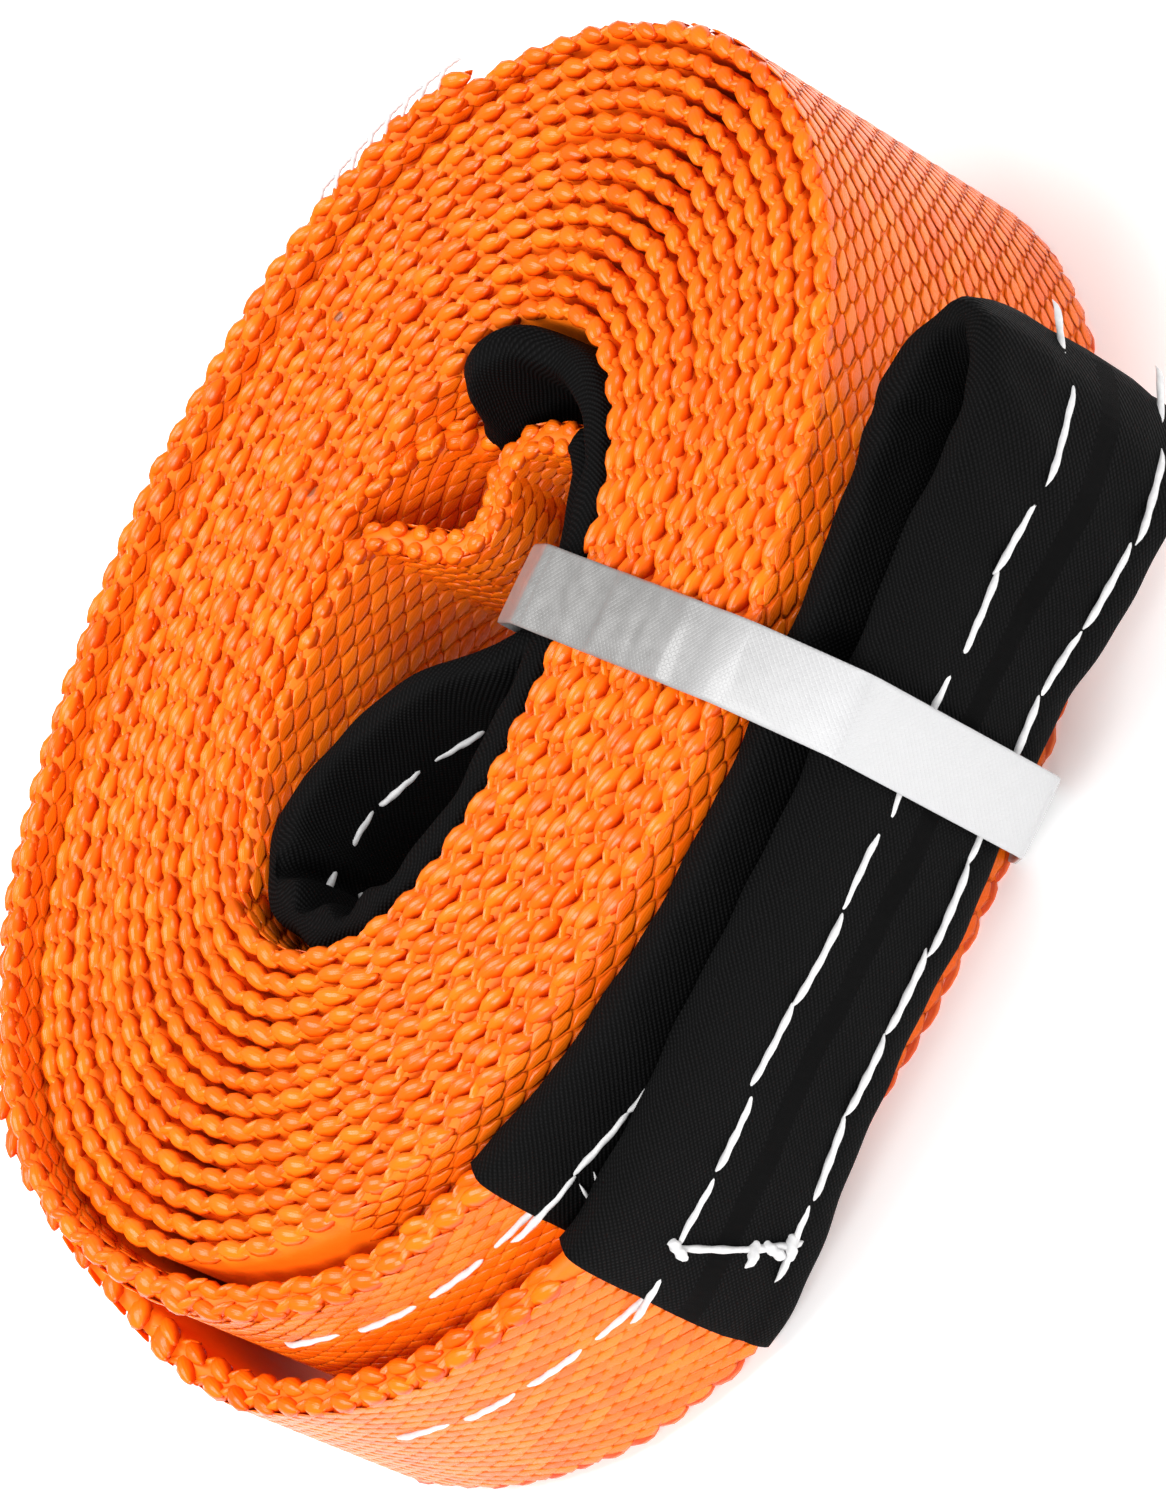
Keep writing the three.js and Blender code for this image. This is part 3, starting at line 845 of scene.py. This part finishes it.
def sleeve_surface(path, shares, levels, inset, pucker):
    along, aside = directions(path)
    half = path[:, 4] / 2 + 1.0
    top, low = path[:, 3] + SLEEVE_SIDE_MARGIN, path[:, 2] - SLEEVE_SIDE_MARGIN
    rings = []
    for share, level in zip(shares, levels):
        out = half * share - inset * np.sign(share) * min(1, abs(share) * 2)
        fold = pucker(path, share, level)
        height = top - inset - (top - low - 2 * inset) * level
        spots = path[:, :2] + aside * (out + fold * np.sign(share))[:, None]
        rings.append(np.column_stack([spots, height]))
    return np.stack(rings, axis=1)


def sleeve(name, places, ends, pucker):
    path = run(places, ends[0], ends[1], 1.1)
    shares, levels = sleeve_section(AROUND)
    outer = sleeve_surface(path, shares, levels, 0, pucker)
    inner = sleeve_surface(path, shares, levels, SLEEVE_WALL, pucker)
    count = len(path)
    points = np.vstack([outer.reshape(-1, 3), inner.reshape(-1, 3)])
    faces = tube_faces(count, AROUND).tolist()
    faces += (tube_faces(count, AROUND, flip=True) + count * AROUND).tolist()
    for ring in (0, count - 1):
        for j in range(AROUND):
            a, b = ring * AROUND + j, ring * AROUND + (j + 1) % AROUND
            faces.append([a, b, b + count * AROUND, a + count * AROUND])
    reach = even_steps(path, 1.1)[1]
    reach = np.interp(np.arange(count), np.linspace(0, count - 1, len(reach)), reach)
    girth = np.concatenate([[0], np.cumsum(np.linalg.norm(np.diff(outer[0], axis=0), axis=1))])
    grid = np.stack(np.meshgrid(reach, girth, indexing="ij"), axis=-1).reshape(-1, 2)
    obj = fix_normals(mesh_object(name, points, faces, uv=np.vstack([grid, grid])))
    obj.data.materials.append(twill)
    print(name, "path", round(reach[-1]), "mm, girth", round(girth[-1] * (AROUND + 1) / AROUND), "mm")
    return obj, path


STAR = (39.5, -66.8)


def outer_pucker(path, share, level):
    """Slack waves, gathers round the turn of the loop, and a star of creases at its inner corner."""
    x, y = path[:, 0], path[:, 1]
    bend = np.clip((x - 34) / 12, 0, 1)
    wave = np.sin(x * 0.33 + level * 5) * 0.2 + np.sin(x * 0.71 + level * 9 + 1) * 0.12
    gather = bend * 0.35 * np.sin(y * 1.3 + level * 7) * (1 - level)
    near = np.exp(-((np.hypot(x - STAR[0], y - STAR[1]) / 7) ** 2)) * math.exp(-((level / 0.4) ** 2))
    star = near * 0.7 * np.sin(np.arctan2(y - STAR[1], x - STAR[0]) * 6 + level * 16)
    return wave + gather + star


def inner_pucker(path, share, level):
    """Three deep folds where the sleeve turns back on itself, and slack waves elsewhere."""
    x, y = path[:, 0], path[:, 1]
    bend = np.exp(-(((x + 36) / 8) ** 2))
    folds = np.sin(np.arctan2(y + 3, x + 27) * 8 + level * 2.2)
    slack = np.sin(x * 0.42 + level * 4) * 0.3 + np.sin(x * 0.9 + level * 8 + 2) * 0.12
    return slack + bend * folds * (1.25 if share < 0 else 0.45) * (1 - 0.5 * level)


outer_sleeve, outer_sleeve_path = sleeve("outer_sleeve_cloth", outer_places, OUTER_EYE, outer_pucker)
inner_sleeve, inner_sleeve_path = sleeve("inner_sleeve_cloth", inner_places, INNER_EYE, inner_pucker)

# %% [markdown]
# ## Stitches
# The seams are sewn with long stitches of thick thread, some 10 mm apart, that nearly touch. Each
# is a twisted pair of plies that dives into the cloth at both ends. One stitch is built once in
# Geometry Nodes and set on every point of the seams.

# %% The tree that sets stitches on points
def stitch_tree():
    sizes = {"Stitch Length": 9.2, "Thread Width": 1.0, "Plies Twist": 2.6}
    tree = Geometry("sew_seams", sizes)
    steps = {"Vertices": 10, "Side Segments": 14, "Radius": 1.0, "Depth": 2.0}
    rod = tree.node("GeometryNodeMeshCylinder", {"fill_type": "TRIANGLE_FAN"}, steps)
    x, y, z = tree.split(tree.node("GeometryNodeInputPosition"))
    angle = tree.node("ShaderNodeMath", {"operation": "ARCTAN2"}, {0: y, 1: x})
    wave = (angle * 2 + z * tree.given("Plies Twist") * math.pi).sine()
    radius = (0.92 + wave * 0.13) * tree.given("Thread Width") * (0.5 * MM)
    taper = (1.02 - z * z * z * z) ** 0.5
    dive = z * z * z * z * z * z * tree.given("Thread Width") * (-0.75 * MM)
    length = z * tree.given("Stitch Length") * (0.5 * MM)
    shaped = {"X": x * radius * taper, "Y": y * radius * taper + dive, "Z": length}
    return tree.done(tree.set_on_points(rod, shaped))


sew_seams = stitch_tree()


# %% Where the seams run
RIDES_ON = 3.0
STITCH_STEP, STITCH_LENGTH = 10.2, 12.6
TACK_REACH, TACK_PROUD = 1.342, 0.35
BARE = -0.75


def seam(places, start, stop, side, from_top, pucker=None, spacing=STITCH_STEP, length=1.0, proud=0.0):
    """Stitches on one side of a sleeve, a share of its height down from the top."""
    path = even_steps(run(places, start, stop, 1.0), spacing)[0]
    along, aside = directions(path)
    top, low = path[:, 3] + SLEEVE_SIDE_MARGIN, path[:, 2] - SLEEVE_SIDE_MARGIN
    count = len(path)
    from_top = np.linspace(*from_top, count) if isinstance(from_top, tuple) else from_top
    level = top - (top - low) * from_top + RNG.uniform(-0.3, 0.3, count)
    out = aside * side
    fold = pucker(path, side, from_top) if pucker else np.zeros(count)
    centre = path[:, :2] + out * (RIDES_ON + proud + fold)[:, None]
    slope = np.gradient(level) / spacing
    heading = np.column_stack([along, slope + RNG.uniform(-0.06, 0.06, count)])
    size = np.column_stack([np.ones(count), np.ones(count), RNG.uniform(0.86, 1.0, count) * length])
    return np.column_stack([centre, level]), heading, np.column_stack([out, 0 * level]), size


eye_in, eye_out = OUTER_EYE
inner_start = INNER_EYE[0]
seams = [
    seam(outer_places, eye_in + 0.1, eye_in + 7, RIGHT, 0.27, outer_pucker),
    seam(outer_places, eye_in + 7, eye_in + 9, RIGHT, 0.36, outer_pucker, 7.5, 0.75),
    seam(outer_places, eye_in + 9.2, eye_out - 0.1, LEFT, 0.36, outer_pucker),
    seam(outer_places, eye_in + 9.4, eye_out - 1.35, LEFT, 0.83, outer_pucker),
    seam(outer_places, eye_in - 2.6, eye_in - 0.2, RIGHT, 0.27, None, STITCH_STEP, 0.9, BARE),
    seam(outer_places, eye_out + 0.3, eye_out + 2.4, LEFT, 0.36, None, STITCH_STEP, 0.9, BARE),
    seam(inner_places, inner_start + 13, inner_start + 15, RIGHT, (0.3, 0.36), inner_pucker, 7.5, 0.8),
    seam(inner_places, inner_start + 15.3, inner_start + 19.4, RIGHT, (0.22, 0.3), inner_pucker, 8.6, 0.8),
]


# %% The tack line that ends the seam, with its knots
def surface_point(places, u, side, from_top, proud=0.0):
    path = smooth(places, np.array([u - 0.02, u, u + 0.02]))
    along, aside = directions(path)
    top, low = path[1, 3] + SLEEVE_SIDE_MARGIN, path[1, 2] - SLEEVE_SIDE_MARGIN
    out = aside[1] * side
    centre = path[1, :2] + out * (RIDES_ON + TACK_PROUD + proud)
    return np.array([*centre, top - (top - low) * from_top]), np.array([*out, 0.0])


def tack(first, second, count, thickness=1.0):
    points = np.linspace(first[0], second[0], 2 * count + 1)[1::2]
    along = np.tile(second[0] - first[0], (count, 1))
    out = np.tile((first[1] + second[1]) / 2, (count, 1))
    length = np.linalg.norm(second[0] - first[0]) / count / STITCH_LENGTH * TACK_REACH
    size = np.tile([thickness, thickness, length], (count, 1))
    return points, along, out, size


high_end = surface_point(outer_places, eye_out - 0.75, LEFT, 0.36)
middle_end = surface_point(outer_places, eye_out - 1.05, LEFT, 0.62)
low_end = surface_point(outer_places, eye_out - 1.35, LEFT, 0.84)
seams += [tack(high_end, middle_end, 1), tack(middle_end, low_end, 1, 1.1)]
knot_size = np.array([[1.5, 1.4, 0.3]])
for u, level, lean in ((0.75, 0.34, 0.4), (1.1, 0.66, 1.0), (1.2, 0.74, 0.2), (1.33, 0.81, 0.9)):
    spot, out = surface_point(outer_places, eye_out - u, LEFT, level, 0.3)
    seams.append((spot[None], np.array([[lean, 0.4, 1 - lean]]), out[None], knot_size))
tuft = surface_point(outer_places, eye_in + 0.25, RIGHT, 0.52, 0.5)
for u, level in ((0.75, 0.34), (0.55, 0.33), (0.9, 0.42)):
    seams.append(tack(tuft, surface_point(outer_places, eye_in + u, RIGHT, level, 0.3), 1, 0.5))

points, fields = gathered(seams)
stitch_size = {"Stitch Length": STITCH_LENGTH, "Thread Width": 0.95, "Plies Twist": 3.4}
stitches = grown("seam_stitches", points, sew_seams, thread, stitch_size, fields)

# %% [markdown]
# The tail is tacked to the last turn by a few stitches that lie over the upper edge, and show as
# short marks of thread at the back of the roll.

# %% Stitches over the tail's edge
TAIL_STITCH_STEP = 3.4
tail_path = run(outer_places, last_index - 1.5, last_index - 0.1, 1)
tail_path = even_steps(tail_path, TAIL_STITCH_STEP)[0]
tail_along, tail_aside = directions(tail_path)
UPWARD = np.array([[0.0, 0.0, 1.0]])
tail_marks = []
for spot, along, aside in zip(tail_path, tail_along, tail_aside):
    top = np.array([*(spot[:2] + aside * 1.2), spot[3] + 0.15])
    across = np.array([[*(aside * 0.75 + along * 0.65), 0.0]])
    tail_marks.append((top[None], across, UPWARD, np.array([[0.7, 0.7, 0.30]])))
    beside = top + np.array([*(along * 1.5 + aside * 0.9), -0.1])
    tail_marks.append((beside[None], np.array([[*along, 0.0]]), UPWARD, np.array([[0.7, 0.7, 0.26]])))
points, fields = gathered(tail_marks)
tail_stitches = grown("tail_stitches", points, sew_seams, thread, stitch_size, fields)

# %% [markdown]
# ## The band
# The band is a strip of plastic bent round the roll's front wall and welded to itself on top. It
# is a closed ring of a thin section, with rounded bends. Where its ends overlap it is thicker, and
# the weld is pressed flat.

# %% The band as a swept strip
BAND_WIDTH, BAND_THICKNESS = 10.2, 0.6
BAND_X, BAND_Y, BAND_SLANT = 6.5, -42, math.radians(3)
WELD_Y, LAP_HALF = -44, 8


def band_corners():
    reach = BAND_THICKNESS / 2 + CLEARANCE
    wall = float(beside_roll(270, 0)[1])
    core_wall = float(inside_core(-90, 0)[1])
    inner_face = core_wall + SECOND_LEG_AWAY + SLEEVE_HALF + reach + 2.6
    second_face = wall - SECOND_LEG_AWAY - SLEEVE_HALF - reach
    first_face = wall - LEG_AWAY - SLEEVE_HALF
    return np.array([
        [-20.8, WEBBING_WIDTH + reach],
        [inner_face, INNER_SECOND_TOP + SLEEVE_SIDE_MARGIN + 1.1],
        [inner_face, INNER_SECOND_TOP - FOLDED_WIDTH - SLEEVE_SIDE_MARGIN - 0.9],
        [core_wall + 1.2, BAND_THICKNESS / 2 + 0.2],
        [wall - 1, BAND_THICKNESS / 2 + 0.2],
        [second_face, LOWER_LEG_LIFT - SLEEVE_SIDE_MARGIN - 1.2],
        [second_face, LOWER_LEG_LIFT + PINCHED_WIDTH + SLEEVE_SIDE_MARGIN + 0.7],
        [first_face - 0.6, LEG_TOP + SLEEVE_SIDE_MARGIN + 0.9],
        [wall - 0.8, WEBBING_WIDTH + reach],
    ])


def rounded_loop(corners, bend, step):
    """A closed line through the corners, each turned by a short curve, in even steps."""
    line = []
    for i, corner in enumerate(corners):
        before, after = corners[i - 1] - corner, corners[(i + 1) % len(corners)] - corner
        start = corner + before / np.linalg.norm(before) * bend
        end = corner + after / np.linalg.norm(after) * bend
        t = np.linspace(0, 1, 7)[:, None]
        line.append((1 - t) ** 2 * start + 2 * t * (1 - t) * corner + t**2 * end)
    line = np.vstack(line + [line[0][:1]])
    return even_steps(np.column_stack([line, np.zeros((len(line), 3))]), step)


def band_piece():
    path, reach = rounded_loop(band_corners(), 1.6, 0.7)
    path, reach = path[:-1], reach[:-1]
    forward = np.roll(path[:, :2], -1, axis=0) - np.roll(path[:, :2], 1, axis=0)
    forward /= np.linalg.norm(forward, axis=1)[:, None]
    out = np.column_stack([-forward[:, 1], forward[:, 0]])
    on_top = (path[:, 1] > WEBBING_WIDTH + 0.4).astype(float)
    from_weld = path[:, 0] - WELD_Y
    lap = on_top * np.clip((LAP_HALF - np.abs(from_weld)) / 1.2, 0, 1) * 0.42
    weld = on_top * np.exp(-((from_weld / 1.1) ** 2)) * 0.3
    ripple = 0.1 * np.sin(reach * 0.9) * on_top
    section = [(-0.5, -0.3), (-0.5, 0.3), (-0.46, 0.5), (0, 0.56), (0.46, 0.5)]
    section += [(0.5, 0.3), (0.5, -0.3), (0.46, -0.5), (0, -0.5), (-0.46, -0.5)]
    rings = []
    for across, level in section:
        grow = (lap - weld) * max(level, 0) * 2
        lift = BAND_THICKNESS * level + grow + ripple
        yz = path[:, :2] + out * lift[:, None]
        rings.append(np.column_stack([np.full(len(path), BAND_WIDTH * across), yz]))
    points = np.stack(rings, axis=1).reshape(-1, 3)
    x = points[:, 0]
    y = points[:, 1] - BAND_Y
    cos, sin = math.cos(-BAND_SLANT), math.sin(-BAND_SLANT)
    points = np.column_stack([BAND_X + x * cos - y * sin, BAND_Y + x * sin + y * cos, points[:, 2]])
    count = len(path)
    faces = tube_faces(count, len(section), closed=True)
    uv = np.stack(np.meshgrid(reach, [s[0] * BAND_WIDTH for s in section], indexing="ij"), axis=-1)
    obj = fix_normals(mesh_object("band_strip", points, faces, uv=uv.reshape(-1, 2)))
    obj.data.materials.append(plastic)
    return obj


band = band_piece()

# %% [markdown]
# ## Everything rides on the one body
# Each piece rides on the root body, and the CAD parts that it stands for are hidden. The
# sleeves are sheets of cloth, and their flat size is the length of the path by the girth.

# %% Riding and replacing
webbing_pieces = [rolled_webbing, inner_webbing, *edge_pieces, outer_floats, inner_floats]
for obj in webbing_pieces:
    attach(obj, "root")
for obj in (outer_sleeve, inner_sleeve, stitches, tail_stitches):
    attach(obj, "root")
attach(band, "root")
outer_cloth = (outer_sleeve, outer_sleeve_path, OUTER_GIRTH)
inner_cloth = (inner_sleeve, inner_sleeve_path, INNER_GIRTH)
for obj, path, girth in (outer_cloth, inner_cloth):
    flat = (girth * MM, even_steps(path, 1.0)[1][-1] * MM)
    print(obj.name, "flat", [round(side, 4) for side in flat])
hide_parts("strap")
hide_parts("outer_eye_sleeve")
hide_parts("inner_eye_sleeve")
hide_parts("retaining_band")

# %% [markdown]
# ## The studio
# The photograph is a close product shot from about 37 degrees above, with a long lens, turned by
# some 60 degrees so that the roll stands up in the picture. The light is large and soft, from above
# and from the front left, with a weaker one from the right, on a white ground.

# %% Camera
PHOTO_SIZE = (1166, 1500)
FOCAL_PIXELS = 5982.5
ELEVATION, AZIMUTH, LEVEL_ROLL, PICTURE_TURN = 37.19, -5.62, -3.78, 59.0
DISTANCE = 717.4
AIM = np.array([-5.655, -9.398, 25.0])

elevation, azimuth = math.radians(ELEVATION), math.radians(AZIMUTH)
level = math.cos(elevation)
back = Vector((math.sin(azimuth) * level, -math.cos(azimuth) * level, math.sin(elevation)))
level_x = Vector((0, 0, 1)).cross(back).normalized()
level_y = back.cross(level_x)
turn = math.radians(LEVEL_ROLL - PICTURE_TURN)
camera_x = level_x * math.cos(turn) + level_y * math.sin(turn)
camera_y = level_y * math.cos(turn) - level_x * math.sin(turn)
eye = Vector(to_frame(AIM)) + back * (DISTANCE * MM)
camera = bpy.data.objects.new("camera", bpy.data.cameras.new("camera"))
camera.matrix_world = Matrix.Translation(eye) @ Matrix((camera_x, camera_y, back)).transposed().to_4x4()
camera.data.sensor_width = 36
camera.data.lens = FOCAL_PIXELS / max(PHOTO_SIZE) * camera.data.sensor_width
camera.data.clip_start = 0.05
bpy.context.scene.collection.objects.link(camera)
bpy.context.scene.camera = camera


# %% Floor and lights
def soft_light(name, place_m, aim_m, size, power):
    lamp = bpy.data.lights.new(name, "AREA")
    lamp.shape, lamp.size, lamp.size_y = "RECTANGLE", size[0], size[1]
    lamp.energy = power
    obj = bpy.data.objects.new(name, lamp)
    obj.location = place_m
    sight = Vector(aim_m) - Vector(place_m)
    obj.rotation_euler = sight.to_track_quat("-Z", "Y").to_euler()
    bpy.context.scene.collection.objects.link(obj)


def pale_floor(tree):
    inputs = {"Base Color": (0.93, 0.93, 0.93, 1), "Roughness": 0.85, "Specular IOR Level": 0.2}
    inputs |= {"Emission Color": (1, 1, 1, 1), "Emission Strength": 0.3}
    return tree.node("ShaderNodeBsdfPrincipled", {}, inputs)


reach = 3.0
corners = [(-reach, -reach, 0), (reach, -reach, 0), (reach, reach, 0), (-reach, reach, 0)]
floor_mesh = bpy.data.meshes.new("floor")
floor_mesh.from_pydata(corners, [], [(0, 1, 2, 3)])
floor_mesh.materials.append(finish_of("pale_floor", pale_floor))
floor = bpy.data.objects.new("floor", floor_mesh)
bpy.context.scene.collection.objects.link(floor)

middle = (0, 0, 0.02)
soft_light("overhead", (-0.12, 0.16, 0.75), middle, (0.55, 0.5), 6.0)
soft_light("front_left_window", (-0.42, -0.50, 0.42), middle, (0.35, 0.4), 4.6)
soft_light("right_fill", (0.55, -0.30, 0.35), middle, (0.3, 0.3), 1.9)
world = bpy.data.worlds.new("studio")
world.use_nodes = True
world.node_tree.nodes["Background"].inputs["Color"].default_value = (1, 1, 1, 1)
world.node_tree.nodes["Background"].inputs["Strength"].default_value = 0.32
bpy.context.scene.world = world
bpy.context.scene.view_settings.view_transform = "Standard"
